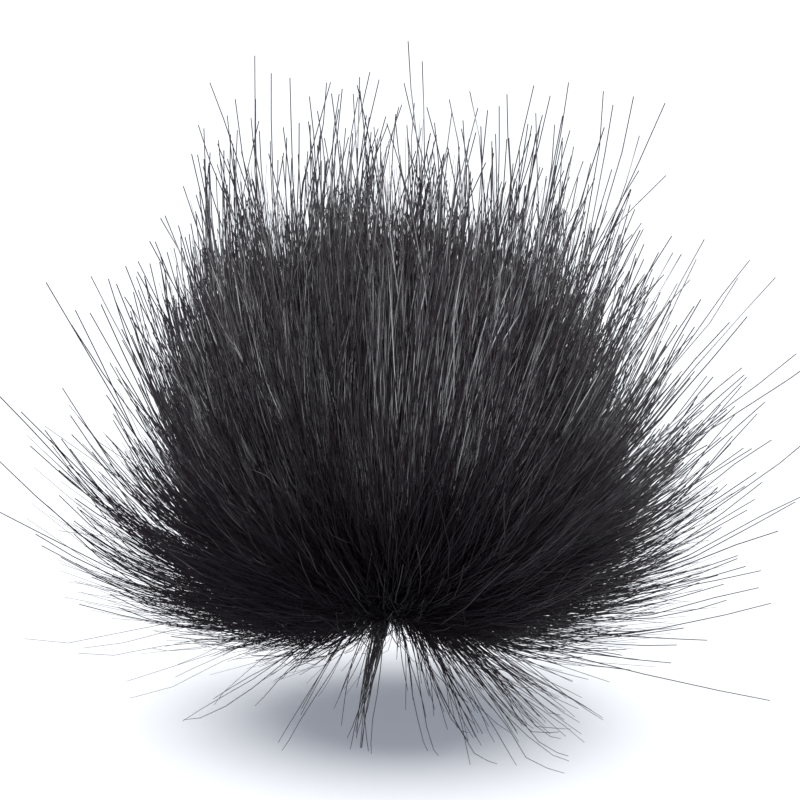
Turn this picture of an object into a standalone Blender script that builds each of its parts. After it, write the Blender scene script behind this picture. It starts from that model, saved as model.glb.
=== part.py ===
"""A black faux-fur pom pom, 144 mm wide and 125 mm high, that stands on its lowest tufts.

It is one piece: a ball of long-pile fur cloth, drawn together at a gather on its lower front. The
ball is the backing, and each lock of pile grows out of one face of it, so the locks stand apart
but for their roots.

Metres, +Z up, -Y towards the viewer. The origin is on the floor, under the middle of the box.
"""

import math
import random
from collections import namedtuple

import bmesh
import bpy
import numpy as np
from mathutils import Matrix, Quaternion, Vector, noise

# The box that the longest strands reach.
HALF_WIDTH = 0.072
HALF_DEPTH = 0.063
HEIGHT = 0.125

# The ball under the pile, and the gather on it. The crown is the ball's far side, tilted back.
BALL_RADIUS = 0.022
BALL_SUBDIVISIONS = 3
FACES_DRAWN_DOWN = 0.30
GATHER = Vector((-0.002, -0.012, 0.0235))
TILT_BACK = math.radians(20)

# The pile on the right, left, front and back of the ball, by the angle in degrees of its roots
# from the crown. The left side parts between 110 and 145 degrees.
Pile = namedtuple("Pile", "from_crown right left front back")

# How far from the crown's axis the tips lie, in degrees as seen from the gather.
LEAN = (
    Pile(from_crown=0, right=0, left=0, front=0, back=0),
    Pile(from_crown=45, right=21, left=19, front=18, back=20),
    Pile(from_crown=90, right=43, left=38, front=38, back=42),
    Pile(from_crown=110, right=53, left=45, front=47, back=53),
    Pile(from_crown=130, right=66, left=56, front=58, back=67),
    Pile(from_crown=145, right=78, left=78, front=70, back=74),
    Pile(from_crown=157, right=87, left=86, front=82, back=80),
    Pile(from_crown=168, right=95, left=93, front=92, back=84),
)

# How far from the gather the tips lie, in metres.
REACH = (
    Pile(from_crown=0, right=0.085, left=0.085, front=0.085, back=0.085),
    Pile(from_crown=45, right=0.083, left=0.087, front=0.081, back=0.083),
    Pile(from_crown=90, right=0.068, left=0.072, front=0.072, back=0.072),
    Pile(from_crown=110, right=0.066, left=0.063, front=0.067, back=0.067),
    Pile(from_crown=130, right=0.067, left=0.056, front=0.061, back=0.062),
    Pile(from_crown=145, right=0.067, left=0.069, front=0.055, back=0.057),
    Pile(from_crown=157, right=0.055, left=0.056, front=0.045, back=0.048),
    Pile(from_crown=168, right=0.034, left=0.036, front=0.032, back=0.034),
)

# A strand's sections: how far along it each lies, and how much of the room between its
# neighbours it fills there. It ends in a point. A lock also has a widest size, as the length
# from its middle line to a corner, and its length is a share of the pile's reach.
Section = namedtuple("Section", "along fill")
LOCK_SECTIONS = (
    Section(along=0.0, fill=0.84),
    Section(along=0.28, fill=0.80),
    Section(along=0.62, fill=0.76),
    Section(along=0.86, fill=0.54),
)
STRANDS = 300
LOCK_WIDEST = 0.0130
LOCK_LENGTH = (0.96, 1.10)
LONG_LOCK_LENGTH = (1.14, 1.30)
LONG_LOCK_SHARE = 0.24
START_ALONG_NORMAL = 0.45

# The low tufts that it stands on. Each springs from the face beside the gather that looks most
# towards its bearing, seen along the crown's axis, and ends lying on the floor.
Tuft = namedtuple("Tuft", "bearing tip_x tip_y")
TUFTS = (
    Tuft(bearing=-95, tip_x=-0.0085, tip_y=-0.029),
    Tuft(bearing=-121, tip_x=-0.0250, tip_y=-0.028),
    Tuft(bearing=-167, tip_x=-0.0330, tip_y=-0.009),
    Tuft(bearing=144, tip_x=-0.0270, tip_y=0.020),
    Tuft(bearing=121, tip_x=-0.0130, tip_y=0.032),
    Tuft(bearing=72, tip_x=0.0080, tip_y=0.034),
    Tuft(bearing=49, tip_x=0.0250, tip_y=0.022),
    Tuft(bearing=0, tip_x=0.0350, tip_y=0.002),
    Tuft(bearing=-23, tip_x=0.0375, tip_y=-0.015),
    Tuft(bearing=-49, tip_x=0.0300, tip_y=-0.030),
    Tuft(bearing=-72, tip_x=0.0130, tip_y=-0.034),
)
TUFT_ROOT_FILL = 0.82
TuftSection = namedtuple("TuftSection", "along half_width height")
TUFT_SECTIONS = (
    TuftSection(along=0.28, half_width=0.0016, height=0.0028),
    TuftSection(along=0.62, half_width=0.0019, height=0.0028),
    TuftSection(along=1.0, half_width=0.0018, height=0.0015),
)
TUFT_DROP = 0.010
FLAT_LENGTH, FLAT_SHARE = 0.008, 0.35
TANGENT_STEP = 0.01

# The pile parts on the left, where a few faces of the ball stay bare.
LEFT_PARTING = Vector((-0.77, 0.0, -0.64))
PARTING_FACES = 4

# A gentle wave in the pile. It grows with the distance from the gather and the height.
WAVE_SIZE = 0.0035
WAVE_LENGTH = 0.045
WAVE_FROM, WAVE_FULL_AT = 0.008, 0.055
WAVE_FULL_HEIGHT = 0.024
WAVE_SEED = 4

# The height under which strands bend to lie along the floor.
FLOOR_BEND = 0.006

SEED = 11
FUR_COLOUR = (0.013, 0.012, 0.014, 1.0)
FUR_ROUGHNESS = 0.45
SHARP_EDGE = math.radians(60)


def clear_scene():
    for old in list(bpy.data.objects):
        bpy.data.objects.remove(old)


def crown_frame():
    """The gather's own frame: Z through the crown, X to the right and Y to the back."""
    return Matrix.Translation(GATHER) @ Matrix.Rotation(-TILT_BACK, 4, "X")


def look_up(table, from_crown, bearing):
    """A table's value for roots at this angle from the crown, at this bearing, in radians."""
    angles = [row.from_crown for row in table]
    right, left, front, back = (
        float(np.interp(math.degrees(from_crown), angles, [getattr(row, side) for row in table]))
        for side in ("right", "left", "front", "back")
    )
    across, deep = math.cos(bearing), math.sin(bearing)
    return (right if across > 0 else left) * across**2 + (back if deep > 0 else front) * deep**2


def smooth_step(value, start, full_at):
    share = min(max((value - start) / (full_at - start), 0.0), 1.0)
    return share * share * (3 - 2 * share)


def waved(point):
    """The point moved by the pile's wave, which dies out at the gather and at the floor."""
    strength = WAVE_SIZE * smooth_step((point - GATHER).length, WAVE_FROM, WAVE_FULL_AT)
    strength *= smooth_step(point.z, 0, WAVE_FULL_HEIGHT)
    return point + strength * noise.noise_vector(point / WAVE_LENGTH)


def above_floor(point):
    """The point raised, if it is low, so that what would pass the floor runs along it."""
    if point.z >= FLOOR_BEND:
        return point
    return Vector((point.x, point.y, FLOOR_BEND * math.exp(point.z / FLOOR_BEND - 1)))


def on_ball(frame, outward):
    """The place on the ball that lies this way from its middle, in the crown's frame."""
    return frame @ (BALL_RADIUS * (outward + Vector((0, 0, 1))))


def bezier(points, share):
    """The place at a share of the way along a curve with three or four control points."""
    while len(points) > 1:
        points = [a.lerp(b, share) for a, b in zip(points, points[1:])]
    return points[0]


class Strand:
    """The line that the pile follows from one place on the ball, given as a unit vector."""

    def __init__(self, frame, outward):
        from_crown = outward.angle(Vector((0, 0, 1)), 0.0)
        bearing = math.atan2(outward.y, outward.x)
        lean = math.radians(look_up(LEAN, from_crown, bearing))
        reach = look_up(REACH, from_crown, bearing)
        towards = Vector((math.cos(bearing), math.sin(bearing), 0))
        root = on_ball(frame, outward)
        tip = frame @ (reach * (math.sin(lean) * towards + math.cos(lean) * Vector((0, 0, 1))))
        normal = frame.to_3x3() @ outward
        start = (tip - root).normalized().lerp(normal, START_ALONG_NORMAL).normalized()
        self.points = [root, root + 0.5 * (tip - root).length * start, tip]

    def at(self, share):
        """The place at this share of the way to the tip. It runs straight on past the tip."""
        place = bezier(self.points, min(share, 1))
        if share > 1:
            place += 2 * (share - 1) * (self.points[2] - self.points[1])
        return above_floor(waved(place))


def drawn_out(bm, face, places):
    """Extrudes the face alone, and puts its new corners at these places."""
    new = bmesh.ops.extrude_discrete_faces(bm, faces=[face])["faces"][0]
    for vert, place in zip(new.verts, places):
        vert.co = place
    return new


def pointed(bm, face, tip):
    """Closes a lock to a point at tip."""
    bmesh.ops.poke(bm, faces=[face])["verts"][0].co = tip


class Lock:
    """The pile that grows from one face of the ball."""

    def __init__(self, frame, face, length):
        middle = sum((v.co for v in face.verts), Vector()) / len(face.verts)
        self.face = face
        self.outward = middle.normalized()
        self.middle = Strand(frame, self.outward)
        self.corners = [Strand(frame, v.co.normalized()) for v in face.verts]
        self.length = length

    def tip(self):
        return self.middle.at(self.length)

    def trim(self):
        """Shortens the lock to the box, if it would pass it."""
        while not inside_box(self.tip()):
            self.length -= 0.01

    def stretch_to(self, axis, limit):
        """Changes the length so that the tip lies just this far along an axis."""
        short, long = 0.85, 1.6
        for _ in range(30):
            self.length = (short + long) / 2
            if self.tip()[axis] / limit < 1:
                short = self.length
            else:
                long = self.length

    def grow(self, bm):
        face = self.face
        for section in LOCK_SECTIONS:
            centre = self.middle.at(section.along)
            spokes = [corner.at(section.along) - centre for corner in self.corners]
            fill = section.fill * min(1, LOCK_WIDEST / max(spoke.length for spoke in spokes))
            face = drawn_out(bm, face, [centre + fill * spoke for spoke in spokes])
        pointed(bm, face, self.tip())


def inside_box(point):
    return abs(point.x) <= HALF_WIDTH and abs(point.y) <= HALF_DEPTH and point.z <= HEIGHT


def tuft_corners(centre, forward, side, section):
    """A section of a tuft, a triangle with its flat side below: its top, right and left corners."""
    up = forward.cross(side).normalized()
    low = centre - section.height / 3 * up
    return [low + section.height * up, low - section.half_width * side, low + section.half_width * side]


def grow_tuft(bm, frame, face, tuft):
    """A low tuft: down from beside the gather, out, and flat on the floor to its tip."""
    corners = [on_ball(frame, v.co) for v in face.verts]
    root = sum(corners, Vector()) / len(corners)
    drop = TUFT_DROP * (frame.to_3x3() @ face.normal).normalized()
    face = drawn_out(bm, face, [root.lerp(corner, TUFT_ROOT_FILL) for corner in corners])

    tip = Vector((tuft.tip_x, tuft.tip_y, 0))
    along = Vector((tip.x - root.x, tip.y - root.y, 0))
    flat = along.normalized() * min(FLAT_LENGTH, FLAT_SHARE * along.length)
    side = Vector((-flat.y, flat.x, 0)).normalized()
    end = tip - flat + Vector((0, 0, TUFT_SECTIONS[-1].height / 3))
    route = [root, root + drop, end - flat, end]
    top_first = None
    for section in TUFT_SECTIONS:
        centre = bezier(route, section.along)
        forward = centre - bezier(route, section.along - TANGENT_STEP)
        places = tuft_corners(centre, forward, side, section)
        if top_first is None:
            up = places[0] - centre
            top_first = min((0, 1, 2), key=lambda n: (corners[n] - root).angle(up))
        face = drawn_out(bm, face, [places[n - top_first] for n in range(3)])
    pointed(bm, face, tip)


def make_ball(bm):
    """A ball of triangles, of radius 1, drawn closer together towards a flat gather face."""
    bmesh.ops.create_icosphere(bm, subdivisions=BALL_SUBDIVISIONS, radius=1)
    for vert in bm.verts:
        axis = Vector((-vert.co.y, vert.co.x, 0))
        vert.co.rotate(Quaternion(axis, FACES_DRAWN_DOWN * axis.length))
    lowest = min(bm.verts, key=lambda v: v.co.z)
    lowest.co.z = lowest.link_edges[0].other_vert(lowest).co.z
    return set(lowest.link_faces)


def tuft_faces(ring):
    """The face of the ring round the gather for each tuft, none of them used twice."""
    free = list(ring)
    chosen = {}
    for tuft in TUFTS:
        bearing = math.radians(tuft.bearing)
        towards = Vector((math.cos(bearing), math.sin(bearing)))
        best = max(free, key=lambda f: f.calc_center_median().to_2d().normalized().dot(towards))
        free.remove(best)
        chosen[best] = tuft
    return chosen


def lock_faces(bm, taken, count):
    """This many faces to grow locks from, all over the ball but for the parting."""
    free = [f for f in bm.faces if f not in taken]
    free.sort(key=lambda f: f.calc_center_median().angle(LEFT_PARTING))
    kept = set(random.Random(SEED).sample(free[PARTING_FACES:], count))
    return [f for f in free if f in kept]


def make_locks(frame, faces):
    """A lock for each face, some of them long, all inside the box and five reaching its sides."""
    lengths = random.Random(SEED)
    locks = []
    for face in faces:
        long = lengths.random() < LONG_LOCK_SHARE
        locks.append(Lock(frame, face, lengths.uniform(*(LONG_LOCK_LENGTH if long else LOCK_LENGTH))))
        locks[-1].trim()
    sides = ((0, HALF_WIDTH), (0, -HALF_WIDTH), (1, HALF_DEPTH), (1, -HALF_DEPTH), (2, HEIGHT))
    for axis, limit in sides:
        furthest = max(locks, key=lambda lock: lock.tip()[axis] / limit)
        furthest.stretch_to(axis, limit)
    return locks


def make_fur_material():
    material = bpy.data.materials.new("fur")
    material.use_nodes = True
    shader = material.node_tree.nodes["Principled BSDF"]
    shader.inputs["Base Color"].default_value = FUR_COLOUR
    shader.inputs["Roughness"].default_value = FUR_ROUGHNESS
    shader.inputs["Metallic"].default_value = 0.0
    return material


def make_fur_ball(collection):
    frame = crown_frame()
    bm = bmesh.new()
    gather_faces = make_ball(bm)
    bm.normal_update()
    ball_verts = list(bm.verts)
    rim = {v for f in gather_faces for v in f.verts}
    ring = {f for v in rim for f in v.link_faces} - gather_faces
    tufts = tuft_faces(sorted(ring, key=lambda f: f.index))
    locks = make_locks(frame, lock_faces(bm, gather_faces | ring, STRANDS - len(tufts)))

    for face, tuft in tufts.items():
        grow_tuft(bm, frame, face, tuft)
    for lock in locks:
        lock.grow(bm)
    for vert in ball_verts:
        vert.co = waved(on_ball(frame, vert.co))

    mesh = bpy.data.meshes.new("fur_ball")
    bm.to_mesh(mesh)
    bm.free()
    mesh.shade_smooth()
    mesh.set_sharp_from_angle(angle=SHARP_EDGE)
    mesh.materials.append(make_fur_material())
    collection.objects.link(bpy.data.objects.new("fur_ball", mesh))


def main():
    clear_scene()
    noise.seed_set(WAVE_SEED)
    collection = bpy.data.collections.new("pom_pom")
    bpy.context.scene.collection.children.link(collection)
    make_fur_ball(collection)


main()
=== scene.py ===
"""A black faux-fur pom pom, standing on its low tufts on a plain studio floor.

Run it with Blender, or from Blender's text editor. Each operator in the Pom pom panel makes one
piece or a group of them: the fur cloth ball, the underfur, the pile, the long hairs, the cross
hairs and the low tufts. Every hair is a closed tapering tube of its own, laid by Geometry Nodes
along the lines that the fur falls in.
"""

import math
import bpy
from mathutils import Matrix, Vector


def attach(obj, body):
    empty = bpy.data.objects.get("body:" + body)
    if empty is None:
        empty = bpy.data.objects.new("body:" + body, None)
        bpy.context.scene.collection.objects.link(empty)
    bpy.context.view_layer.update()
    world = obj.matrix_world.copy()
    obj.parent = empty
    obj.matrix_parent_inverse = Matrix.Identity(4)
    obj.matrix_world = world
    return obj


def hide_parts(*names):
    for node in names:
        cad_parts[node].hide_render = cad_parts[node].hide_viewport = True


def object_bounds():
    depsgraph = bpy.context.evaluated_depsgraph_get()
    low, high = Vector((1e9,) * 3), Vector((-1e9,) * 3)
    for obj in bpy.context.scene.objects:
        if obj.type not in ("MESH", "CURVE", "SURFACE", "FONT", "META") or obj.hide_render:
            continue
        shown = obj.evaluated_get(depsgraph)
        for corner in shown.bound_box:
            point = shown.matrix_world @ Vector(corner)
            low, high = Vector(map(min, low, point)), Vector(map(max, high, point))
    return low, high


bl_info = {
    "name": "Faux-fur pom pom",
    "version": (1, 0, 0),
    "blender": (4, 5, 0),
    "location": "View3D > Sidebar > Pom pom",
    "description": "Makes a black long-hair faux-fur pom pom, hair by hair",
    "category": "Object",
}

from collections import namedtuple
from enum import IntEnum

import bmesh
import bpy
import numpy as np
from bpy.props import FloatProperty, FloatVectorProperty, IntProperty, PointerProperty
from mathutils import Matrix, Vector, noise

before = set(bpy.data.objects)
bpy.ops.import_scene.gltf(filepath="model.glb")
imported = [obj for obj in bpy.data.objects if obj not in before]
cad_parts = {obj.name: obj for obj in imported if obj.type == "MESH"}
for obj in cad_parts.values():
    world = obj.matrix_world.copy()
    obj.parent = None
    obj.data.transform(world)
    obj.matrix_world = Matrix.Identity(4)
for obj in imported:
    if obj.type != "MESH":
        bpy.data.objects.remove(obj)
CAD_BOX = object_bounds()
NODE = "fur_ball"
BODY = "root"

# The ball under the pile, and the gather on it. The crown is the ball's far side, tilted back.
BALL_RADIUS = 0.022
GATHER = Vector((-0.002, -0.012, 0.0235))
TILT_BACK = math.radians(20)

# How finely the ball is divided into faces.
SURFACE_SUBDIVISIONS = 5

# A hair sets out by this share straight out of the ball and for the rest towards its tip, and it
# bends after this share of the way.
START_ALONG_NORMAL = 0.45
BEND_AT = 0.5

# The pile on the right, left, front and back of the ball, by the angle in degrees of its roots
# from the crown.
Pile = namedtuple("Pile", "from_crown right left front back")

# How far from the crown's axis the tips lie, in degrees as seen from the gather.
LEAN = (
    Pile(from_crown=0, right=0, left=0, front=0, back=0),
    Pile(from_crown=45, right=21, left=19, front=18, back=20),
    Pile(from_crown=90, right=43, left=38, front=38, back=42),
    Pile(from_crown=110, right=53, left=45, front=47, back=53),
    Pile(from_crown=130, right=66, left=56, front=58, back=67),
    Pile(from_crown=145, right=79, left=79, front=70, back=74),
    Pile(from_crown=157, right=93, left=92, front=82, back=80),
    Pile(from_crown=168, right=106, left=104, front=94, back=84),
)

# How far from the gather the tips lie, in metres.
REACH = (
    Pile(from_crown=0, right=0.081, left=0.081, front=0.081, back=0.081),
    Pile(from_crown=45, right=0.079, left=0.080, front=0.078, back=0.080),
    Pile(from_crown=90, right=0.061, left=0.066, front=0.071, back=0.070),
    Pile(from_crown=110, right=0.058, left=0.057, front=0.066, back=0.065),
    Pile(from_crown=130, right=0.063, left=0.055, front=0.060, back=0.061),
    Pile(from_crown=145, right=0.062, left=0.065, front=0.054, back=0.056),
    Pile(from_crown=157, right=0.050, left=0.050, front=0.044, back=0.047),
    Pile(from_crown=168, right=0.032, left=0.034, front=0.032, back=0.034),
)

# How thickly the pile grows: the crown's is spread over less of the outside, so it is thinner.
COVER = (
    Pile(from_crown=0, right=0.30, left=0.30, front=0.30, back=0.30),
    Pile(from_crown=45, right=0.40, left=0.40, front=0.40, back=0.40),
    Pile(from_crown=90, right=0.85, left=0.85, front=0.85, back=0.85),
    Pile(from_crown=130, right=1.0, left=1.0, front=1.0, back=1.0),
    Pile(from_crown=157, right=0.78, left=0.64, front=0.9, back=0.8),
    Pile(from_crown=168, right=0.50, left=0.40, front=0.6, back=0.5),
)

# The low tufts, by the bearing of their roots round the gather, with their tips on the floor.
Tuft = namedtuple("Tuft", "bearing tip_x tip_y hairs splay")
TUFTS = (
    Tuft(bearing=-95, tip_x=-0.0085, tip_y=-0.029, hairs=40, splay=0.0004),
    Tuft(bearing=-121, tip_x=-0.0250, tip_y=-0.028, hairs=7, splay=0.0070),
    Tuft(bearing=-167, tip_x=-0.0330, tip_y=-0.009, hairs=7, splay=0.0080),
    Tuft(bearing=144, tip_x=-0.0270, tip_y=0.020, hairs=7, splay=0.0080),
    Tuft(bearing=121, tip_x=-0.0130, tip_y=0.032, hairs=7, splay=0.0080),
    Tuft(bearing=72, tip_x=0.0080, tip_y=0.034, hairs=8, splay=0.0080),
    Tuft(bearing=49, tip_x=0.0250, tip_y=0.022, hairs=10, splay=0.0090),
    Tuft(bearing=0, tip_x=0.0350, tip_y=0.002, hairs=10, splay=0.0110),
    Tuft(bearing=-23, tip_x=0.0375, tip_y=-0.015, hairs=14, splay=0.0100),
    Tuft(bearing=-49, tip_x=0.0300, tip_y=-0.030, hairs=30, splay=0.0080),
    Tuft(bearing=-72, tip_x=0.0130, tip_y=-0.034, hairs=18, splay=0.0080),
)

# Loose hairs that fall all round the gather, between the tufts.
LOOSE_HAIRS = (
    Tuft(bearing=-112, tip_x=-0.0170, tip_y=-0.026, hairs=5, splay=0.0080),
    Tuft(bearing=-140, tip_x=-0.0280, tip_y=-0.020, hairs=6, splay=0.0120),
    Tuft(bearing=-155, tip_x=-0.0360, tip_y=-0.014, hairs=5, splay=0.0120),
    Tuft(bearing=180, tip_x=-0.0380, tip_y=0.004, hairs=4, splay=0.0120),
    Tuft(bearing=100, tip_x=0.0000, tip_y=0.040, hairs=6, splay=0.0120),
    Tuft(bearing=25, tip_x=0.0360, tip_y=0.012, hairs=6, splay=0.0120),
    Tuft(bearing=-10, tip_x=0.0400, tip_y=-0.006, hairs=7, splay=0.0120),
    Tuft(bearing=-36, tip_x=0.0340, tip_y=-0.024, hairs=24, splay=0.0120),
    Tuft(bearing=-48, tip_x=0.0180, tip_y=-0.020, hairs=48, splay=0.0120),
    Tuft(bearing=-68, tip_x=0.0090, tip_y=-0.022, hairs=16, splay=0.0080),
    Tuft(bearing=-60, tip_x=0.0220, tip_y=-0.028, hairs=30, splay=0.0120),
)

# Each tuft grows from a small disc close to the gather.
TUFT_FROM_CROWN = math.radians(163)
TUFT_ROOT_RADIUS = 0.0018
TUFT_SIDES = 6

# It bends this share of the way to its tip, at this share of its root's height, and has this share
# of its splay there. Its tip lies just above the floor.
TUFT_BEND_SHARE = 0.42
TUFT_BEND_FALL = 0.56
TUFT_BEND_SPLAY = 0.3
TUFT_TIP_HEIGHT = 0.0003

# Its hairs are dark, with painted shade as the hair at the gather has, and their widths are these shares
# of a long hair's. With the last value as its splay, a tuft is as loose as the pile close to the gather.
TUFT_SHADED_TONE = 0.05
TUFT_WIDTH_SHARE, TUFT_TIP_WIDTH_SHARE = 0.8, 0.55
LOOSE_SPLAY = 0.014

# Where the pile parts into its pieces, where the cross hairs start, and where the longest hairs
# of the right side grow: angles from the crown, and the bearing to both sides of the right.
CROWN_EDGE = math.radians(85)
CROSS_FROM = math.radians(118)
RIGHT_FROM, RIGHT_TO, RIGHT_ACROSS = math.radians(55), math.radians(125), math.radians(60)

# How light the hairs are, from 0 to 1, which also sets how much painted sheen they carry: lighter on the
# crown, as painted light from above, and darker towards the gather, as painted shade under the ball;
# lighter on the right, as painted light from that side; in soft patches and finer streaks of painted
# sheen and uneven tone that fade towards the gather. Hairs and clumps differ by chance.
CROWN_LIT_TONE, GATHER_SHADED_TONE = 0.86, 0.0
SHADED_FROM, MOST_SHADED_AT = math.radians(100), math.radians(150)
PATCH_SHEEN_AND_TONE = 0.70
RIGHT_PAINTED_LIGHT = 0.16
PATCHES = 4.0
STREAKS = 14.0
STREAK_SHARE = 0.7
PATCHES_FADE = 0.6
HAIR_TONE, CLUMP_TONE = 0.18, 0.12

# The pile is looser and finer towards the gather.
LOOSER_FROM, LOOSEST_AT = math.radians(122), math.radians(160)
FINER = 0.18

# Long hairs end this far outside the frame's box at most, each between this share of its room and
# the whole of it. A hair that reaches ahead less than the least length is taken to reach that.
ROOM_ROUND_FRAME = 0.008
LEAST_ROOM = 0.93
LEAST_LENGTH = 0.00001

# A hair follows its clump, and strays, by this share as much at its bend as at its tip.
BEND_FOLLOWS = 0.35

# The rings of a hair lie closer together towards its tip, and a hair tapers most there.
RING_SPACING = 1.3
TAPER = 2.0

# The small ripples along a hair: how many there are in a metre, and how fast they change from
# root to root, so that neighbours don't ripple alike.
RIPPLES = 60.0
RIPPLES_BY_ROOT = 40
MIDDLE_OF_NOISE = Vector((0.5, 0.5, 0.5))

# A three-sided tube's radius, as a share of its width.
TUBE_SIDES = 3
TUBE_RADIUS = 0.58

# The share of the map that runs round a hair. The rest of its width holds the hair's tone.
MAP_ROUND_HAIR = 0.01

# A gentle wave in the pile. It grows with the distance from the gather and the height.
WAVE_SIZE = 0.0035
WAVE_LENGTH = 0.045
WAVE_FROM, WAVE_FULL_AT = 0.008, 0.055
WAVE_FULL_HEIGHT = 0.024
WAVE_SEED = 4

# The painted sheen along a hair: the scale of its noise across the hairs and along each, the noise value
# above which a stretch is lit and how sharply it starts, how quickly the painted sheen fades towards the
# hair's ends, and how much more of it the lighter hairs carry. A hair gets lighter from its root
# upwards, with painted shade deep in the pile at its root.
SHEEN_GRAIN_ACROSS, SHEEN_GRAIN_ALONG = 220, 2.0
SHEEN_FROM, SHEEN_EDGE = 0.545, 12
SHEEN_BAND = 5.5
SHEEN_BY_TONE = 1.6
LIGHTER_UPWARDS = 1.8

# The knitted loops and the nap on the fur cloth's back, with painted shade between the loops, and the
# pleats at the gather.
BACKING_SIZE = 0.99
LOOP_SIZE, LOOPS_UNEVEN, LOOP_EDGE = 0.0009, 0.35, 1.3
NAP_SIZE, NAP_HEIGHT = 0.004, 0.6
CLOTH_RELIEF, CLOTH_STRENGTH = 0.0003, 0.7
CLOTH_LIGHTNESS = 1.6
CLOTH_ROUGHNESS, LOOPS_SMOOTHER = 0.95, 0.2
PLEATS = 14
PLEAT_DEPTH = 0.10
PLEATS_FROM, PLEATS_FULL_AT = math.radians(120), math.radians(172)

# The height under which hairs bend to lie along the floor.
FLOOR_BEND = 0.002

# The camera and the lights in front and behind face this point, where the picture is this wide. The
# sensor's width is in millimetres, and anything nearer than the last value isn't seen.
VIEW_CENTRE = Vector((0, 0, 0.060))
VIEW_WIDTH = 0.150
SENSOR_WIDTH = 36
NEAREST_SEEN = 0.01

# The stage: the floor's size, the lights' places and sizes, and the colours of light.
FLOOR_SIZE = 8
ABOVE_PLACE = Vector((0.0, 0.20, 0.9))
WASH_PLACE = Vector((-0.01, 0.17, 0.9))
SUN_SPREAD = math.radians(32)
FRONT_PLACE, FRONT_SIZE = Vector((0.02, -0.6, 0.42)), 0.7
BACK_PLACE, BACK_SIZE = Vector((-0.25, 0.6, 0.35)), 0.3
WARM, COOL, WHITE = (1.0, 0.98, 0.95), (0.84, 0.91, 1.0), (1.0, 1.0, 1.0)


class Draw(IntEnum):
    """The random draws that lay a hair, each with a number of its own."""

    ROOT = 0
    CLUMP_ROOT = 1
    CLUMP_PULL = 2
    CLUMP_BEND = 3
    CLUMP_TIP = 4
    LENGTH = 5
    TONE = 6
    CLUMP_TONE = 7
    CLUMP_LENGTH = 8
    ROOM = 9
    BEND = 13
    TIP = 14


class PomPomFur(bpy.types.PropertyGroup):
    """The fur's sizes, its numbers of hairs and its colours"""

    hair_width: FloatProperty(
        name="Hair width", description="A hair's width at its root", default=0.00015, unit="LENGTH"
    )
    tip_width: FloatProperty(
        name="Tip width", description="A hair's width at its tip", default=0.00007, unit="LENGTH"
    )
    guard_width: FloatProperty(
        name="Guard hair width", description="A long hair's width at its root",
        default=0.00023, unit="LENGTH",
    )
    guard_tip_width: FloatProperty(
        name="Guard tip width", description="A long hair's width at its tip",
        default=0.00019, unit="LENGTH",
    )
    underfur: IntProperty(name="Underfur", description="Hairs in the underfur", default=9500)
    pile: IntProperty(name="Pile", description="Hairs in each part of the pile", default=9500)
    long_hairs: IntProperty(name="Long hairs", description="Hairs that stand out", default=4200)
    right_hairs: IntProperty(name="Right hairs", description="Longer hairs on the right", default=260)
    cross_hairs: IntProperty(name="Cross hairs", description="Fine hairs that lie across", default=1600)
    # The darkest hairs' colour, which the fur also takes as painted shade at the roots and towards the
    # gather.
    dark: FloatVectorProperty(
        name="Dark", description="The darkest hairs", default=(0.0055, 0.0032, 0.0062), subtype="COLOR"
    )
    middle: FloatVectorProperty(
        name="Middle", description="Most hairs", default=(0.0195, 0.0165, 0.0205), subtype="COLOR"
    )
    # The colour of the painted sheen along the hairs.
    light: FloatVectorProperty(
        name="Light", description="The lightest hairs", default=(0.375, 0.384, 0.400), subtype="COLOR"
    )


class PomPomStage(bpy.types.PropertyGroup):
    """The camera's place, the floor's colours and the strength of each light"""

    camera_height: FloatProperty(
        name="Camera angle", description="The camera's angle above the floor",
        default=math.radians(12), subtype="ANGLE",
    )
    camera_distance: FloatProperty(
        name="Camera distance", description="From the camera to the pom pom", default=0.60, unit="LENGTH"
    )
    floor: FloatVectorProperty(
        name="Floor", description="The pale floor", default=(0.58, 0.58, 0.58), subtype="COLOR"
    )
    floor_glow: FloatVectorProperty(
        name="Floor's glow", description="Light that comes up through the floor",
        default=(0.245, 0.265, 0.31), subtype="COLOR"
    )
    room: FloatProperty(name="Room light", description="Light from all round", default=0.24)
    above: FloatProperty(
        name="Light above", description="Strength of the broad light above", default=4.7
    )
    front: FloatProperty(name="Front light", description="Power of the light in front", default=12.0)
    back: FloatProperty(name="Back light", description="Power of the light behind", default=4.5)
    wash: FloatProperty(
        name="Floor's light", description="Strength of the floor's own light", default=4.2
    )


def named_socket(sockets, name):
    """A socket by its place or, among those that the node shows, by its name."""
    if isinstance(name, int):
        return sockets[name]
    return next(s for s in sockets if s.enabled and s.name == name)


class Link:
    """A node's output in an expression: the operators add the Math nodes that work it out."""

    def __init__(self, tree, socket):
        self.tree = tree
        self.socket = socket

    def __getitem__(self, name):
        """Another output of the same node."""
        return Link(self.tree, named_socket(self.socket.node.outputs, name))

    def __add__(self, other):
        return self.tree.math("ADD", self, other)

    def __radd__(self, other):
        return self.tree.math("ADD", other, self)

    def __sub__(self, other):
        return self.tree.math("SUBTRACT", self, other)

    def __rsub__(self, other):
        return self.tree.math("SUBTRACT", other, self)

    def __mul__(self, other):
        return self.tree.math("MULTIPLY", self, other)

    def __rmul__(self, other):
        return self.tree.math("MULTIPLY", other, self)

    def __pow__(self, other):
        return self.tree.math("POWER", self, other)


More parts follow.
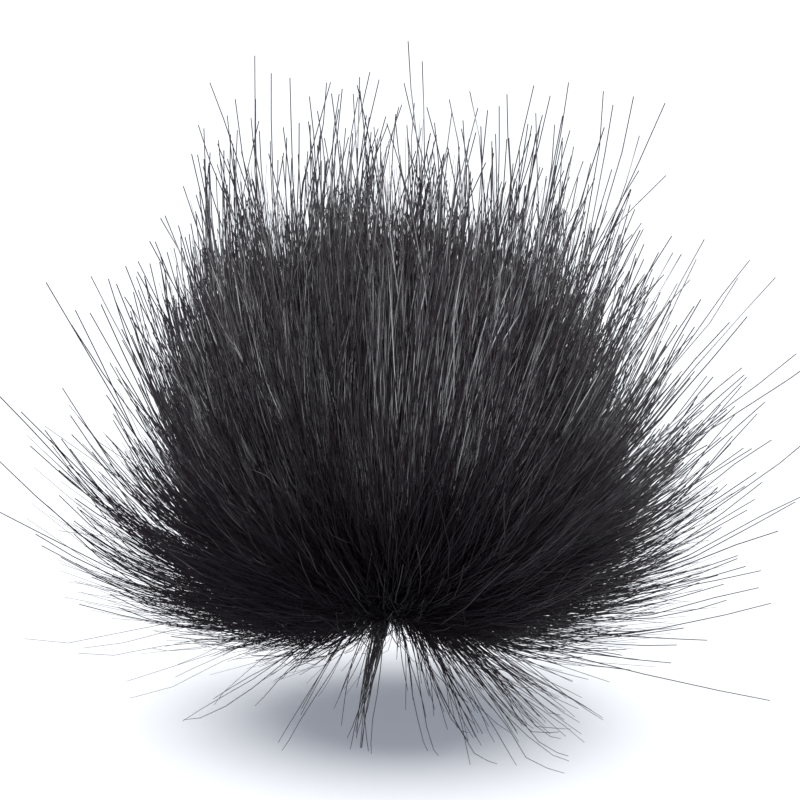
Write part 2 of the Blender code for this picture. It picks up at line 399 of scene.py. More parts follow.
class Tree:
    """A node tree that is built from calls and expressions."""

    def __init__(self, nodes):
        self.nodes = nodes

    def add(self, kind, settings, values):
        """A node of this type: its settings are set first, then its inputs. Gives its output."""
        node = self.nodes.nodes.new(kind)
        for name, value in settings.items():
            setattr(node, name, value)
        for name, value in values.items():
            socket = named_socket(node.inputs, name)
            if isinstance(value, Link):
                self.nodes.links.new(value.socket, socket)
            else:
                socket.default_value = value
        shown = [s for s in node.outputs if s.enabled]
        return Link(self, shown[0]) if shown else None

    def math(self, operation, *values):
        """A Math node, or a Vector Math node where a value is a vector."""
        vectors = [v for v in values if is_vector(v)]
        if not vectors:
            return self.add("ShaderNodeMath", {"operation": operation}, dict(enumerate(values)))
        if operation == "MULTIPLY" and len(vectors) == 1:
            scale = next(v for v in values if v is not vectors[0])
            return self.add(
                "ShaderNodeVectorMath", {"operation": "SCALE"}, {"Vector": vectors[0], "Scale": scale}
            )
        return self.add("ShaderNodeVectorMath", {"operation": operation}, dict(enumerate(values)))

    def blend(self, a, b, share):
        """A mix of two colours."""
        a, b = (c if isinstance(c, Link) else (*c, 1.0) for c in (a, b))
        return self.add("ShaderNodeMix", {"data_type": "RGBA"}, {"Factor": share, "A": a, "B": b})


def is_vector(value):
    """Whether a value of an expression is a vector or a colour, and not a number."""
    if isinstance(value, Link):
        return value.socket.type in {"VECTOR", "RGBA"}
    return isinstance(value, (Vector, tuple))


def mix(a, b, share):
    """The value that lies this share of the way from a to b."""
    return a + (b - a) * share


def crown_frame():
    """The gather's own frame: Z through the crown, X to the right and Y to the back."""
    return Matrix.Translation(GATHER) @ Matrix.Rotation(-TILT_BACK, 4, "X")


def placed(places):
    """Places given in the crown's frame, an array of rows, as places in the world."""
    matrix = np.array(crown_frame())
    return places @ matrix[:3, :3].T + matrix[:3, 3]


def look_up(table, from_crown, bearing):
    """A table's values for roots at these angles from the crown, at these bearings, in radians."""
    angles = [row.from_crown for row in table]
    right, left, front, back = (
        np.interp(np.degrees(from_crown), angles, [getattr(row, side) for row in table])
        for side in ("right", "left", "front", "back")
    )
    across, deep = np.cos(bearing), np.sin(bearing)
    return np.where(across > 0, right, left) * across**2 + np.where(deep > 0, back, front) * deep**2


def smooth_step(value, start, full_at):
    """A share that rises softly from 0 where the value is start to 1 where it is full_at."""
    share = np.clip((value - start) / (full_at - start), 0.0, 1.0)
    return share * share * (3 - 2 * share)


def waved(places):
    """The places moved by the pile's wave, which dies out at the gather and at the floor."""
    from_gather = np.linalg.norm(places - np.array(GATHER), axis=1)
    strength = WAVE_SIZE * smooth_step(from_gather, WAVE_FROM, WAVE_FULL_AT)
    strength *= smooth_step(places[:, 2], 0, WAVE_FULL_HEIGHT)
    noise.seed_set(WAVE_SEED)
    wave = np.array([noise.noise_vector(Vector(place) / WAVE_LENGTH) for place in places])
    return places + strength[:, None] * wave


def angles_of(outward):
    """The angle from the crown and the bearing of each unit vector, in radians."""
    return np.arccos(np.clip(outward[:, 2], -1, 1)), np.arctan2(outward[:, 1], outward[:, 0])


def fall_lines(outward):
    """Where the hairs that grow this way from the ball's middle start, bend and end."""
    from_crown, bearing = angles_of(outward)
    lean = np.radians(look_up(LEAN, from_crown, bearing))
    reach = look_up(REACH, from_crown, bearing)
    root = BALL_RADIUS * (outward + np.array((0, 0, 1)))
    tip = reach[:, None] * np.stack(
        (np.sin(lean) * np.cos(bearing), np.sin(lean) * np.sin(bearing), np.cos(lean)), axis=1
    )
    length = np.linalg.norm(tip - root, axis=1, keepdims=True)
    start = (1 - START_ALONG_NORMAL) * (tip - root) / length + START_ALONG_NORMAL * outward
    start /= np.linalg.norm(start, axis=1, keepdims=True)
    bend = root + BEND_AT * length * start
    return placed(root), waved(placed(bend)), waved(placed(tip))


def surface_mesh(name, mesh, bend, tip, cover, tone, loose):
    """Gives a mesh what the hairs read from it, with its cover made 1 in all."""
    areas = np.array([face.area for face in mesh.polygons])
    corners = np.array([list(face.vertices) for face in mesh.polygons])
    cover = cover / (areas * cover[corners].mean(axis=1)).sum()
    for attribute, kind, field, values in (
        ("bend", "FLOAT_VECTOR", "vector", bend),
        ("tip", "FLOAT_VECTOR", "vector", tip),
        ("cover", "FLOAT", "value", cover),
        ("tone", "FLOAT", "value", tone),
        ("loose", "FLOAT", "value", loose),
    ):
        data = mesh.attributes.new(attribute, kind, "POINT").data
        data.foreach_set(field, np.ascontiguousarray(values, dtype=np.float32).ravel())
    return mesh


def ball_surface(name, wanted):
    """The part of the ball whose faces pass the test wanted(angle from crown, bearing)."""
    bm = bmesh.new()
    bmesh.ops.create_icosphere(bm, subdivisions=SURFACE_SUBDIVISIONS, radius=1)
    unwanted = []
    for face in bm.faces:
        middle = face.calc_center_median().normalized()
        if not wanted(math.acos(middle.z), math.atan2(middle.y, middle.x)):
            unwanted.append(face)
    bmesh.ops.delete(bm, geom=unwanted, context="FACES")
    mesh = bpy.data.meshes.new(name)
    bm.to_mesh(mesh)
    bm.free()
    outward = np.array([vertex.co.normalized() for vertex in mesh.vertices])
    root, bend, tip = fall_lines(outward)
    mesh.vertices.foreach_set("co", root.astype(np.float32).ravel())
    from_crown, bearing = angles_of(outward)
    cover = look_up(COVER, from_crown, bearing)
    loose = smooth_step(from_crown, LOOSER_FROM, LOOSEST_AT)
    return surface_mesh(name, mesh, bend, tip, cover, tone_of(outward), loose)


def tone_of(outward):
    """How light the hairs are that grow this way from the ball's middle, with painted light and shade in
    it.
    """
    # Painted shade towards the gather, painted light on the crown and the right side, and soft patches
    # of painted sheen and uneven tone.
    dark = smooth_step(angles_of(outward)[0], SHADED_FROM, MOST_SHADED_AT)
    patches = np.array([
        noise.noise(Vector(way) * PATCHES) + STREAK_SHARE * noise.noise(Vector(way) * STREAKS)
        for way in outward
    ])
    tone = mix(CROWN_LIT_TONE, GATHER_SHADED_TONE, dark) + RIGHT_PAINTED_LIGHT * np.maximum(outward[:, 0], 0)
    return tone + PATCH_SHEEN_AND_TONE * (1 - PATCHES_FADE * dark) * patches


def hair_tree():
    """The Geometry Nodes that lay hairs over a surface."""
    group = bpy.data.node_groups.new("hair", "GeometryNodeTree")
    group.interface.new_socket("Surface", in_out="INPUT", socket_type="NodeSocketGeometry")
    for name, kind in (
        ("Hairs", "Float"), ("Seed", "Int"), ("Rings", "Int"),
        ("Shortest", "Float"), ("Longest", "Float"), ("Length Bias", "Float"),
        ("Width", "Float"), ("Tip Width", "Float"),
        ("Spread", "Float"), ("Wobble", "Float"),
        ("Clumps", "Float"), ("Least Pull", "Float"), ("Most Pull", "Float"), ("Clump Spread", "Float"),
        ("Clump Length", "Float"), ("Tone Shift", "Float"), ("Loosening", "Float"),
        ("Material", "Material"),
    ):
        group.interface.new_socket(name, in_out="INPUT", socket_type="NodeSocket" + kind)
    group.interface.new_socket("Hair", in_out="OUTPUT", socket_type="NodeSocketGeometry")
    tree = Tree(group)
    given = tree.add("NodeGroupInput", {}, {})

    def field(name, kind="FLOAT"):
        """What each point holds under this name."""
        return tree.add("GeometryNodeInputNamedAttribute", {"data_type": kind}, {"Name": name})

    def stored(geometry, name, value, kind="FLOAT", domain="POINT"):
        """The geometry with a value stored under this name."""
        return tree.add(
            "GeometryNodeStoreNamedAttribute", {"data_type": kind, "domain": domain},
            {"Geometry": geometry, "Name": name, "Value": value},
        )

    def chance(low, high, draw, **values):
        """A random number for each point, or for each value of ID."""
        return tree.add(
            "FunctionNodeRandomValue", {"data_type": "FLOAT"},
            {"Min": low, "Max": high, "Seed": given["Seed"] + draw, **values},
        )

    def astray(size, draw, **values):
        """A random vector for each point, up to this size along each axis."""
        return size * tree.add(
            "FunctionNodeRandomValue", {"data_type": "FLOAT_VECTOR"},
            {"Min": (-1, -1, -1), "Max": (1, 1, 1), "Seed": given["Seed"] + draw, **values},
        )

    def scattered(count, draw):
        """Points all over the surface, about this many."""
        return tree.add(
            "GeometryNodeDistributePointsOnFaces", {"distribute_method": "RANDOM"},
            {"Mesh": given["Surface"], "Density": field("cover") * count, "Seed": given["Seed"] + draw},
        )

    def longest_inside():
        """How long a hair may be, as a share of the way to its tip, to end in the room it has."""
        bend, tip = field("bend", "FLOAT_VECTOR"), field("tip", "FLOAT_VECTOR")
        limit = tuple(side + ROOM_ROUND_FRAME for side in CAD_BOX[1])
        ahead = tree.math("MAXIMUM", tree.math("ABSOLUTE", (tip - bend) * 2), (LEAST_LENGTH,) * 3)
        room = tree.math("DIVIDE", limit - tree.math("ABSOLUTE", tip), ahead)
        room = tree.add("ShaderNodeSeparateXYZ", {}, {"Vector": room})
        return 1 + tree.math("MINIMUM", tree.math("MINIMUM", room["X"], room["Y"]), room["Z"])

    # The hairs' roots, and the roots of the hairs that the others of their clump lean to.
    hairs = scattered(given["Hairs"], Draw.ROOT)
    leaders = scattered(given["Clumps"], Draw.CLUMP_ROOT)
    nearest = tree.add("GeometryNodeSampleNearest", {}, {"Geometry": leaders})
    pull = chance(given["Least Pull"], given["Most Pull"], Draw.CLUMP_PULL, ID=nearest)
    for name, share, clump_draw, own_draw in (
        ("bend", BEND_FOLLOWS, Draw.CLUMP_BEND, Draw.BEND),
        ("tip", 1.0, Draw.CLUMP_TIP, Draw.TIP),
    ):
        own = field(name, "FLOAT_VECTOR")
        leading = tree.add(
            "GeometryNodeSampleIndex", {"data_type": "FLOAT_VECTOR"},
            {"Geometry": leaders, "Value": own, "Index": nearest},
        )
        drawn = mix(own, leading, pull * share)
        drawn = drawn + astray(given["Clump Spread"] * share, clump_draw, ID=nearest)
        looser = 1 + field("loose") * given["Loosening"]
        drawn = drawn + astray(given["Spread"] * looser * share, own_draw)
        hairs = stored(hairs, name, drawn, "FLOAT_VECTOR")
    hairs = stored(hairs, "root", tree.add("GeometryNodeInputPosition", {}, {}), "FLOAT_VECTOR")
    share = chance(0.0, 1.0, Draw.LENGTH) ** given["Length Bias"]
    length = mix(given["Shortest"], given["Longest"], share)
    length = length * (1 + given["Clump Length"] * chance(-1.0, 1.0, Draw.CLUMP_LENGTH, ID=nearest))
    length = tree.math("MINIMUM", length, longest_inside() * chance(LEAST_ROOM, 1.0, Draw.ROOM))
    hairs = stored(hairs, "length", length)
    tone = field("tone") + given["Tone Shift"] + chance(-HAIR_TONE, HAIR_TONE, Draw.TONE)
    tone = tone + chance(-CLUMP_TONE, CLUMP_TONE, Draw.CLUMP_TONE, ID=nearest)
    hairs = stored(hairs, "tone", tone)

    # A straight line for each hair, bent along its fall line. Past the tip it runs straight on.
    line = tree.add("GeometryNodeCurvePrimitiveLine", {}, {"End": (0, 0, 1)})
    line = tree.add("GeometryNodeResampleCurve", {}, {"Curve": line, "Count": given["Rings"]})
    lines = tree.add("GeometryNodeInstanceOnPoints", {}, {"Points": hairs, "Instance": line})
    lines = tree.add("GeometryNodeRealizeInstances", {}, {"Geometry": lines})
    along = tree.add("GeometryNodeSplineParameter", {}, {})["Factor"]
    lines = stored(lines, "along", along)
    reached = (1 - (1 - along) ** RING_SPACING) * field("length")
    inside = tree.math("MINIMUM", reached, 1.0)
    past = tree.math("MAXIMUM", reached - 1, 0.0)
    root, bend, tip = (field(name, "FLOAT_VECTOR") for name in ("root", "bend", "tip"))
    place = mix(mix(root, bend, inside), mix(bend, tip, inside), inside) + (tip - bend) * (2 * past)
    ripple = tree.add(
        "ShaderNodeTexNoise", {"noise_dimensions": "3D"},
        {"Vector": place + root * RIPPLES_BY_ROOT, "Scale": RIPPLES, "Detail": 0.0},
    )["Color"]
    place = place + (ripple - MIDDLE_OF_NOISE) * (given["Wobble"] * reached)

    # Low down, hairs run along the floor.
    parts = tree.add("ShaderNodeSeparateXYZ", {}, {"Vector": place})
    low = tree.math("MINIMUM", parts["Z"], FLOOR_BEND)
    flattened = tree.math("EXPONENT", low * (1 / FLOOR_BEND) - 1) * FLOOR_BEND
    raised = tree.math("MAXIMUM", parts["Z"], FLOOR_BEND) + flattened - FLOOR_BEND
    place = tree.add("ShaderNodeCombineXYZ", {}, {"X": parts["X"], "Y": parts["Y"], "Z": raised})
    lines = tree.add("GeometryNodeSetPosition", {}, {"Geometry": lines, "Position": place})

    # A three-sided tube round each line, with the tone across its map and its length along it.
    radius = mix(given["Width"], given["Tip Width"], field("along") ** TAPER) * TUBE_RADIUS
    radius = radius * (1 - field("loose") * FINER)
    profile = tree.add(
        "GeometryNodeCurvePrimitiveCircle", {"mode": "RADIUS"},
        {"Resolution": TUBE_SIDES, "Radius": 1.0},
    )
    around = tree.add("GeometryNodeSplineParameter", {}, {})["Factor"]
    profile = stored(profile, "around", around)
    tubes = tree.add(
        "GeometryNodeCurveToMesh", {},
        {"Curve": lines, "Profile Curve": profile, "Scale": radius, "Fill Caps": True},
    )
    across = tree.math("MINIMUM", tree.math("MAXIMUM", field("tone"), 0.0), 1.0)
    across = across * (1 - MAP_ROUND_HAIR) + field("around") * MAP_ROUND_HAIR
    map_place = tree.add("ShaderNodeCombineXYZ", {}, {"X": across, "Y": field("along")})
    tubes = stored(tubes, "OFBake", map_place, "FLOAT2", "CORNER")
    for name in ("root", "bend", "tip", "length", "loose", "tone", "along", "around", "cover"):
        tubes = tree.add("GeometryNodeRemoveAttribute", {}, {"Geometry": tubes, "Name": name})
    tubes = tree.add("GeometryNodeSetShadeSmooth", {}, {"Geometry": tubes})
    tubes = tree.add("GeometryNodeRealizeInstances", {}, {"Geometry": tubes})
    tubes = tree.add("GeometryNodeSetMaterial", {}, {"Geometry": tubes, "Material": given["Material"]})
    tree.add("NodeGroupOutput", {}, {"Hair": tubes})
    return group


def hair_piece(name, mesh, sizes):
    """Lays hairs over a surface, and turns them into a plain mesh."""
    group = bpy.data.node_groups.get("hair") or hair_tree()
    piece = bpy.data.objects.new(name, mesh)
    bpy.context.scene.collection.objects.link(piece)
    layer = piece.modifiers.new("hair", "NODES")
    layer.node_group = group
    fur = bpy.context.scene.pom_pom_fur
    values = {
        "Width": fur.hair_width, "Tip Width": fur.tip_width, "Material": fur_material(), **sizes,
    }
    for socket in group.interface.items_tree:
        if socket.in_out == "INPUT" and socket.name in values:
            layer[socket.identifier] = values[socket.name]
    graph = bpy.context.evaluated_depsgraph_get()
    finished = bpy.data.meshes.new_from_object(piece.evaluated_get(graph))
    piece.modifiers.clear()
    piece.data = finished
    finished.name = name
    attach(piece, BODY)
    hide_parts(NODE)
    triangles = sum(len(face.vertices) - 2 for face in finished.polygons)
    print(f"{name}: {triangles} triangles")


def fur_material():
    """Near-black acrylic hair: the map's first place picks the hair's tone, the second its height."""
    found = bpy.data.materials.get("fur hair")
    if found:
        return found
    fur = bpy.context.scene.pom_pom_fur
    material = bpy.data.materials.new("fur hair")
    material.use_nodes = True
    material.node_tree.nodes.clear()
    tree = Tree(material.node_tree)
    place = tree.add("ShaderNodeUVMap", {"uv_map": "OFBake"}, {})
    parts = tree.add("ShaderNodeSeparateXYZ", {}, {"Vector": place})
    tone, height = parts["X"], parts["Y"]
    sheen_grain = tree.add("ShaderNodeCombineXYZ", {}, {"X": tone * SHEEN_GRAIN_ACROSS, "Y": height * SHEEN_GRAIN_ALONG})
    sheen_grain = tree.add(
        "ShaderNodeTexNoise", {"noise_dimensions": "2D"}, {"Vector": sheen_grain, "Scale": 1.0, "Detail": 1.0}
    )
    # Painted sheen: stretches of each hair where the noise runs high take the light colour, fading
    # towards the hair's ends and strongest on the lighter hairs.
    painted_sheen = tree.math("MAXIMUM", (sheen_grain - SHEEN_FROM) * SHEEN_EDGE, 0.0)
    painted_sheen = tree.math("MINIMUM", painted_sheen, 1.0)
    band = tree.math("MINIMUM", height * (1 - height) * SHEEN_BAND, 1.0)
    # Painted shade: a hair is darker towards its root, deep in the pile, and where its tone is low.
    tone_and_shade = tree.math("MINIMUM", height * LIGHTER_UPWARDS * tone, 1.0)
    colour = tree.blend(tuple(fur.dark), tuple(fur.middle), tone_and_shade)
    colour = tree.blend(colour, tuple(fur.light), painted_sheen * band * tone ** SHEEN_BY_TONE)
    shader = tree.add(
        "ShaderNodeBsdfPrincipled", {},
        {"Base Color": colour, "Roughness": 0.40, "Specular IOR Level": 0.19},
    )
    tree.add("ShaderNodeOutputMaterial", {}, {"Surface": shader})
    return material


class POMPOM_OT_backing(bpy.types.Operator):
    """Makes the ball of fur cloth that the hairs grow from, drawn together at the gather"""

    bl_idname = "pom_pom.backing"
    bl_label = "Fur cloth ball"

    def execute(self, context):
        bm = bmesh.new()
        bmesh.ops.create_icosphere(bm, subdivisions=SURFACE_SUBDIVISIONS, radius=1)
        for vertex in bm.verts:
            outward = vertex.co.normalized()
            from_crown, bearing = angles_of(np.array([outward]))
            drawn_in = PLEAT_DEPTH * smooth_step(from_crown[0], PLEATS_FROM, PLEATS_FULL_AT)
            size = BACKING_SIZE - drawn_in * (0.5 + 0.5 * math.cos(PLEATS * bearing[0]))
            vertex.co = crown_frame() @ (BALL_RADIUS * (float(size) * outward + Vector((0, 0, 1))))
        mesh = bpy.data.meshes.new("fur_backing")
        bm.to_mesh(mesh)
        bm.free()
        mesh.shade_smooth()
        mesh.materials.append(backing_material())
        piece = bpy.data.objects.new("fur_backing", mesh)
        context.scene.collection.objects.link(piece)
        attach(piece, BODY)
        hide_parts(NODE)
        return {"FINISHED"}


def backing_material():
    """Black knitted cloth: rows of small loops under a blotchy nap."""
    fur = bpy.context.scene.pom_pom_fur
    material = bpy.data.materials.new("fur backing")
    material.use_nodes = True
    material.node_tree.nodes.clear()
    tree = Tree(material.node_tree)
    place = tree.add("ShaderNodeTexCoord", {}, {})["Object"]
    loops = tree.add(
        "ShaderNodeTexVoronoi", {"feature": "F1"},
        {"Vector": place, "Scale": 1 / LOOP_SIZE, "Randomness": LOOPS_UNEVEN},
    )
    nap = tree.add("ShaderNodeTexNoise", {}, {"Vector": place, "Scale": 1 / NAP_SIZE, "Detail": 3.0})
    loop = 1 - tree.math("MINIMUM", loops * LOOP_EDGE, 1.0)
    height = loop + nap * NAP_HEIGHT
    bump = tree.add(
        "ShaderNodeBump", {},
        {"Height": height, "Strength": CLOTH_STRENGTH, "Distance": CLOTH_RELIEF},
    )
    # Lighter on the loops and in the nap's blotches: painted shade between the loops, and the nap's
    # uneven tone.
    tone_and_shade = tree.math("MINIMUM", loop * nap * CLOTH_LIGHTNESS, 1.0)
    shader = tree.add(
        "ShaderNodeBsdfPrincipled", {},
        {
            "Base Color": tree.blend(tuple(fur.dark), tuple(fur.middle), tone_and_shade),
            "Roughness": CLOTH_ROUGHNESS - LOOPS_SMOOTHER * loop,
            "Specular IOR Level": 0.2, "Normal": bump,
        },
    )
    tree.add("ShaderNodeOutputMaterial", {}, {"Surface": shader})
    return material


class POMPOM_OT_underfur(bpy.types.Operator):
    """Makes the short fine underfur all over the ball"""

    bl_idname = "pom_pom.underfur"
    bl_label = "Underfur"

    def execute(self, context):
        fur = context.scene.pom_pom_fur
        surface = ball_surface("underfur", lambda from_crown, bearing: True)
        hair_piece("underfur", surface, {
            "Hairs": float(fur.underfur), "Seed": 100, "Rings": 4, "Shortest": 0.30, "Longest": 0.90,
            "Length Bias": 1.3, "Spread": 0.004, "Wobble": 0.003, "Clumps": 900.0, "Least Pull": 0.2,
            "Most Pull": 0.8, "Clump Spread": 0.003, "Clump Length": 0.1, "Loosening": 2.5,
            "Width": 0.00013, "Tip Width": 0.00006,
        })
        return {"FINISHED"}


# The three parts of the pile, so that no piece is too large, with a seed for each.
PILE_SEED, PILE_SEED_STEP = 200, 20
PILE_PARTS = {
    "pile_crown": lambda from_crown, bearing: from_crown < CROWN_EDGE,
    "pile_front": lambda from_crown, bearing: from_crown >= CROWN_EDGE and bearing < 0,
    "pile_back": lambda from_crown, bearing: from_crown >= CROWN_EDGE and bearing >= 0,
}


class POMPOM_OT_pile(bpy.types.Operator):
    """Makes the pile, the dense hair on the crown, the front and the back"""

    bl_idname = "pom_pom.pile"
    bl_label = "Pile"

    def execute(self, context):
        fur = context.scene.pom_pom_fur
        for number, (name, wanted) in enumerate(PILE_PARTS.items()):
            seed = PILE_SEED + PILE_SEED_STEP * number
            hair_piece(name, ball_surface(name, wanted), {
                "Hairs": float(fur.pile), "Seed": seed, "Rings": 4, "Shortest": 0.45,
                "Longest": 1.05, "Length Bias": 1.8, "Spread": 0.0014, "Wobble": 0.0012,
                "Clumps": 700.0, "Least Pull": 0.15, "Most Pull": 0.75, "Clump Spread": 0.0032,
                "Clump Length": 0.12, "Loosening": 4.5,
            })
        return {"FINISHED"}


class POMPOM_OT_long_hairs(bpy.types.Operator):
    """Makes the long hairs that stand out of the pile"""

    bl_idname = "pom_pom.long_hairs"
    bl_label = "Long hairs"

    def execute(self, context):
        fur = context.scene.pom_pom_fur
        surface = ball_surface("long_hairs", lambda from_crown, bearing: True)
        sizes = {
            "Hairs": float(fur.long_hairs), "Seed": 300, "Rings": 6, "Shortest": 0.75, "Longest": 1.42,
            "Length Bias": 2.0, "Spread": 0.004, "Wobble": 0.0015, "Clumps": 400.0, "Least Pull": 0.0,
            "Most Pull": 0.66, "Clump Spread": 0.0045, "Clump Length": 0.06, "Loosening": 1.0,
            "Width": fur.guard_width, "Tip Width": fur.guard_tip_width, "Tone Shift": -0.26,
        }
        hair_piece("long_hairs", surface, sizes)
        hair_piece("right_hairs", ball_surface("right_hairs", on_right), {
            **sizes, "Hairs": float(fur.right_hairs), "Seed": 330, "Shortest": 1.0, "Longest": 1.75,
            "Length Bias": 1.2, "Clumps": 60.0,
        })
        return {"FINISHED"}


def on_right(from_crown, bearing):
    """Whether a hair grows from the ball's right side, where the longest hairs stand out."""
    return RIGHT_FROM < from_crown < RIGHT_TO and abs(bearing) < RIGHT_ACROSS


class POMPOM_OT_cross_hairs(bpy.types.Operator):
    """Makes the fine bent hairs that lie across the others near the gather"""

    bl_idname = "pom_pom.cross_hairs"
    bl_label = "Cross hairs"

    def execute(self, context):
        fur = context.scene.pom_pom_fur
        surface = ball_surface("cross_hairs", lambda from_crown, bearing: from_crown > CROSS_FROM)
        hair_piece("cross_hairs", surface, {
            "Hairs": float(fur.cross_hairs), "Seed": 350, "Rings": 6, "Shortest": 0.35, "Longest": 0.85,
            "Length Bias": 1.0, "Spread": 0.016, "Wobble": 0.008, "Clumps": 200.0, "Least Pull": 0.0,
            "Most Pull": 0.3, "Clump Spread": 0.006, "Clump Length": 0.2, "Width": 0.00012,
            "Tip Width": 0.00009, "Tone Shift": -0.1,
        })
        return {"FINISHED"}


class POMPOM_OT_low_tufts(bpy.types.Operator):
    """Makes the wisp and the tufts that fall from the gather and carry the pom pom"""

    bl_idname = "pom_pom.low_tufts"
    bl_label = "Low tufts"

    def execute(self, context):
        fur = context.scene.pom_pom_fur
        hair_piece("low_tufts", tuft_surface(), {
            "Hairs": float(sum(tuft.hairs for tuft in TUFTS + LOOSE_HAIRS)), "Seed": 400, "Rings": 8,
            "Shortest": 0.30, "Longest": 1.05, "Length Bias": 1.3, "Spread": 0.0020, "Wobble": 0.0035,
            "Clumps": 120.0, "Least Pull": 0.0, "Most Pull": 0.30, "Clump Spread": 0.0015,
            "Clump Length": 0.1, "Loosening": 4.0, "Width": TUFT_WIDTH_SHARE * fur.guard_width,
            "Tip Width": TUFT_TIP_WIDTH_SHARE * fur.guard_tip_width,
        })
        return {"FINISHED"}


def tuft_surface():
    """A small disc for each tuft, whose hairs splay towards its tip."""
    bm = bmesh.new()
    bend, tip, cover, loose = [], [], [], []
    for tuft in TUFTS + LOOSE_HAIRS:
        bearing = math.radians(tuft.bearing)
        outward = Vector((
            math.sin(TUFT_FROM_CROWN) * math.cos(bearing),
            math.sin(TUFT_FROM_CROWN) * math.sin(bearing),
            math.cos(TUFT_FROM_CROWN),
        ))
        root = crown_frame() @ (BALL_RADIUS * (outward + Vector((0, 0, 1))))
        end = Vector((tuft.tip_x, tuft.tip_y, TUFT_TIP_HEIGHT))
        normal = crown_frame().to_3x3() @ outward
        turn = Vector((0, 0, 1)).rotation_difference(normal)
        disc = bmesh.ops.create_circle(bm, cap_ends=True, cap_tris=True, segments=TUFT_SIDES, radius=1)
        for vertex in disc["verts"]:
            aside = vertex.co.copy()
            vertex.co = root + turn @ (TUFT_ROOT_RADIUS * aside)
            middle = vertex.co.lerp(end, TUFT_BEND_SHARE)
            middle.z = TUFT_BEND_FALL * vertex.co.z
            bend.append(middle + tuft.splay * TUFT_BEND_SPLAY * aside)
            tip.append(end + tuft.splay * aside)
            cover.append(float(tuft.hairs))
            loose.append(tuft.splay / LOOSE_SPLAY)
    mesh = bpy.data.meshes.new("low_tufts")
    bm.to_mesh(mesh)
    bm.free()
    tone = np.full(len(cover), TUFT_SHADED_TONE)
    bend, tip, cover, loose = map(np.array, (bend, tip, cover, loose))
    return surface_mesh("low_tufts", mesh, bend, tip, cover, tone, loose)


class POMPOM_OT_stage(bpy.types.Operator):
    """Makes the pale floor, the soft light and the camera"""

    bl_idname = "pom_pom.stage"
    bl_label = "Stage"

    def execute(self, context):
        stage = context.scene.pom_pom_stage
        bpy.ops.mesh.primitive_plane_add(size=FLOOR_SIZE)
        floor = context.object
        floor.name = "floor"
        material = bpy.data.materials.new("floor")
        material.use_nodes = True
        shader = material.node_tree.nodes["Principled BSDF"]
        shader.inputs["Base Color"].default_value = (*stage.floor, 1)
        shader.inputs["Roughness"].default_value = 1.0
        shader.inputs["Specular IOR Level"].default_value = 0.0
        shader.inputs["Emission Color"].default_value = (*stage.floor_glow, 1)
        shader.inputs["Emission Strength"].default_value = 1.0
        floor.data.materials.append(material)

        world = bpy.data.worlds.new("room")
        world.use_nodes = True
        world.node_tree.nodes.clear()
        tree = Tree(world.node_tree)
        seen = tree.add("ShaderNodeLightPath", {}, {})["Is Camera Ray"]
        room = tree.add(
            "ShaderNodeBackground", {},
            {
                "Color": tree.blend(COOL, WHITE, seen),
                "Strength": mix(stage.room, 1.0, seen),
            },
        )
        tree.add("ShaderNodeOutputWorld", {}, {"Surface": room})
        context.scene.world = world

        pieces = [p for p in context.scene.objects if p.type == "MESH" and p is not floor]
        lamp = light("above", "SUN", ABOVE_PLACE, Vector(), pieces)
        lamp.energy = stage.above
        lamp.color = WARM
        lamp.angle = SUN_SPREAD

        lamp = light("front", "AREA", FRONT_PLACE, VIEW_CENTRE, pieces)
        lamp.energy = stage.front
        lamp.size = FRONT_SIZE

        lamp = light("back", "AREA", BACK_PLACE, VIEW_CENTRE, pieces)
        lamp.energy = stage.back
        lamp.size = BACK_SIZE

        # The floor has a light of its own, in which the dense middle alone leaves a soft shadow.
        middle = [p for p in pieces if p.name in {"fur_backing", "pile_crown"}]
        lamp = light("floor", "SUN", WASH_PLACE, Vector(), [floor], middle)
        lamp.energy = stage.wash
        lamp.angle = SUN_SPREAD

        lens = bpy.data.cameras.new("camera")
        lens.sensor_width = SENSOR_WIDTH
        lens.lens = lens.sensor_width * stage.camera_distance / VIEW_WIDTH
        lens.clip_start = NEAREST_SEEN
        camera = bpy.data.objects.new("camera", lens)
        context.scene.collection.objects.link(camera)
        angle = stage.camera_height
        place = VIEW_CENTRE + stage.camera_distance * Vector((0, -math.cos(angle), math.sin(angle)))
        aim(camera, place, VIEW_CENTRE)
        context.scene.camera = camera
        context.scene.view_settings.view_transform = "Standard"
        return {"FINISHED"}


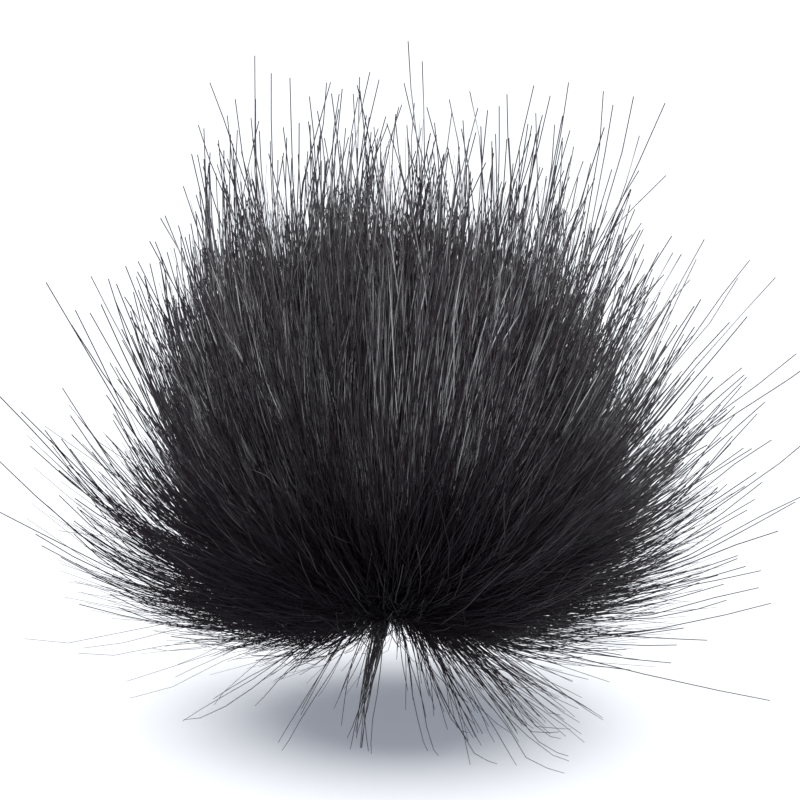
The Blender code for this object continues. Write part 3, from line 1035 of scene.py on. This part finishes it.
def light(name, kind, place, target, receivers, blockers=None):
    """A light that falls on these objects alone, and that only the blockers shade, where given."""
    lamp = bpy.data.lights.new(name, kind)
    holder = bpy.data.objects.new(name, lamp)
    bpy.context.scene.collection.objects.link(holder)
    aim(holder, place, target)
    for use, things in (("receiver", receivers), ("blocker", blockers)):
        if things:
            group = bpy.data.collections.new(f"{name} {use}s")
            for thing in things:
                group.objects.link(thing)
            setattr(holder.light_linking, f"{use}_collection", group)
    return lamp


def aim(obj, place, target):
    """Puts a light or the camera in its place, and turns it to face the target."""
    obj.location = place
    obj.rotation_euler = (target - place).to_track_quat("-Z", "Y").to_euler()


class POMPOM_PT_panel(bpy.types.Panel):
    """Lists the pom pom's sizes and the operators that make its pieces"""

    bl_idname = "POMPOM_PT_panel"
    bl_label = "Pom pom"
    bl_space_type = "VIEW_3D"
    bl_region_type = "UI"
    bl_category = "Pom pom"

    def draw(self, context):
        for group in (context.scene.pom_pom_fur, context.scene.pom_pom_stage):
            for name in group.__annotations__:
                self.layout.prop(group, name)
        for operator in OPERATORS:
            self.layout.operator(operator.bl_idname)


OPERATORS = (
    POMPOM_OT_backing,
    POMPOM_OT_underfur,
    POMPOM_OT_pile,
    POMPOM_OT_long_hairs,
    POMPOM_OT_cross_hairs,
    POMPOM_OT_low_tufts,
    POMPOM_OT_stage,
)
CLASSES = (PomPomFur, PomPomStage, *OPERATORS, POMPOM_PT_panel)


def register():
    for cls in CLASSES:
        bpy.utils.register_class(cls)
    bpy.types.Scene.pom_pom_fur = PointerProperty(type=PomPomFur)
    bpy.types.Scene.pom_pom_stage = PointerProperty(type=PomPomStage)


def unregister():
    del bpy.types.Scene.pom_pom_stage
    del bpy.types.Scene.pom_pom_fur
    for cls in reversed(CLASSES):
        bpy.utils.unregister_class(cls)


def main():
    register()
    bpy.ops.pom_pom.backing()
    bpy.ops.pom_pom.underfur()
    bpy.ops.pom_pom.pile()
    bpy.ops.pom_pom.long_hairs()
    bpy.ops.pom_pom.cross_hairs()
    bpy.ops.pom_pom.low_tufts()
    bpy.ops.pom_pom.stage()


if __name__ == "__main__":
    main()
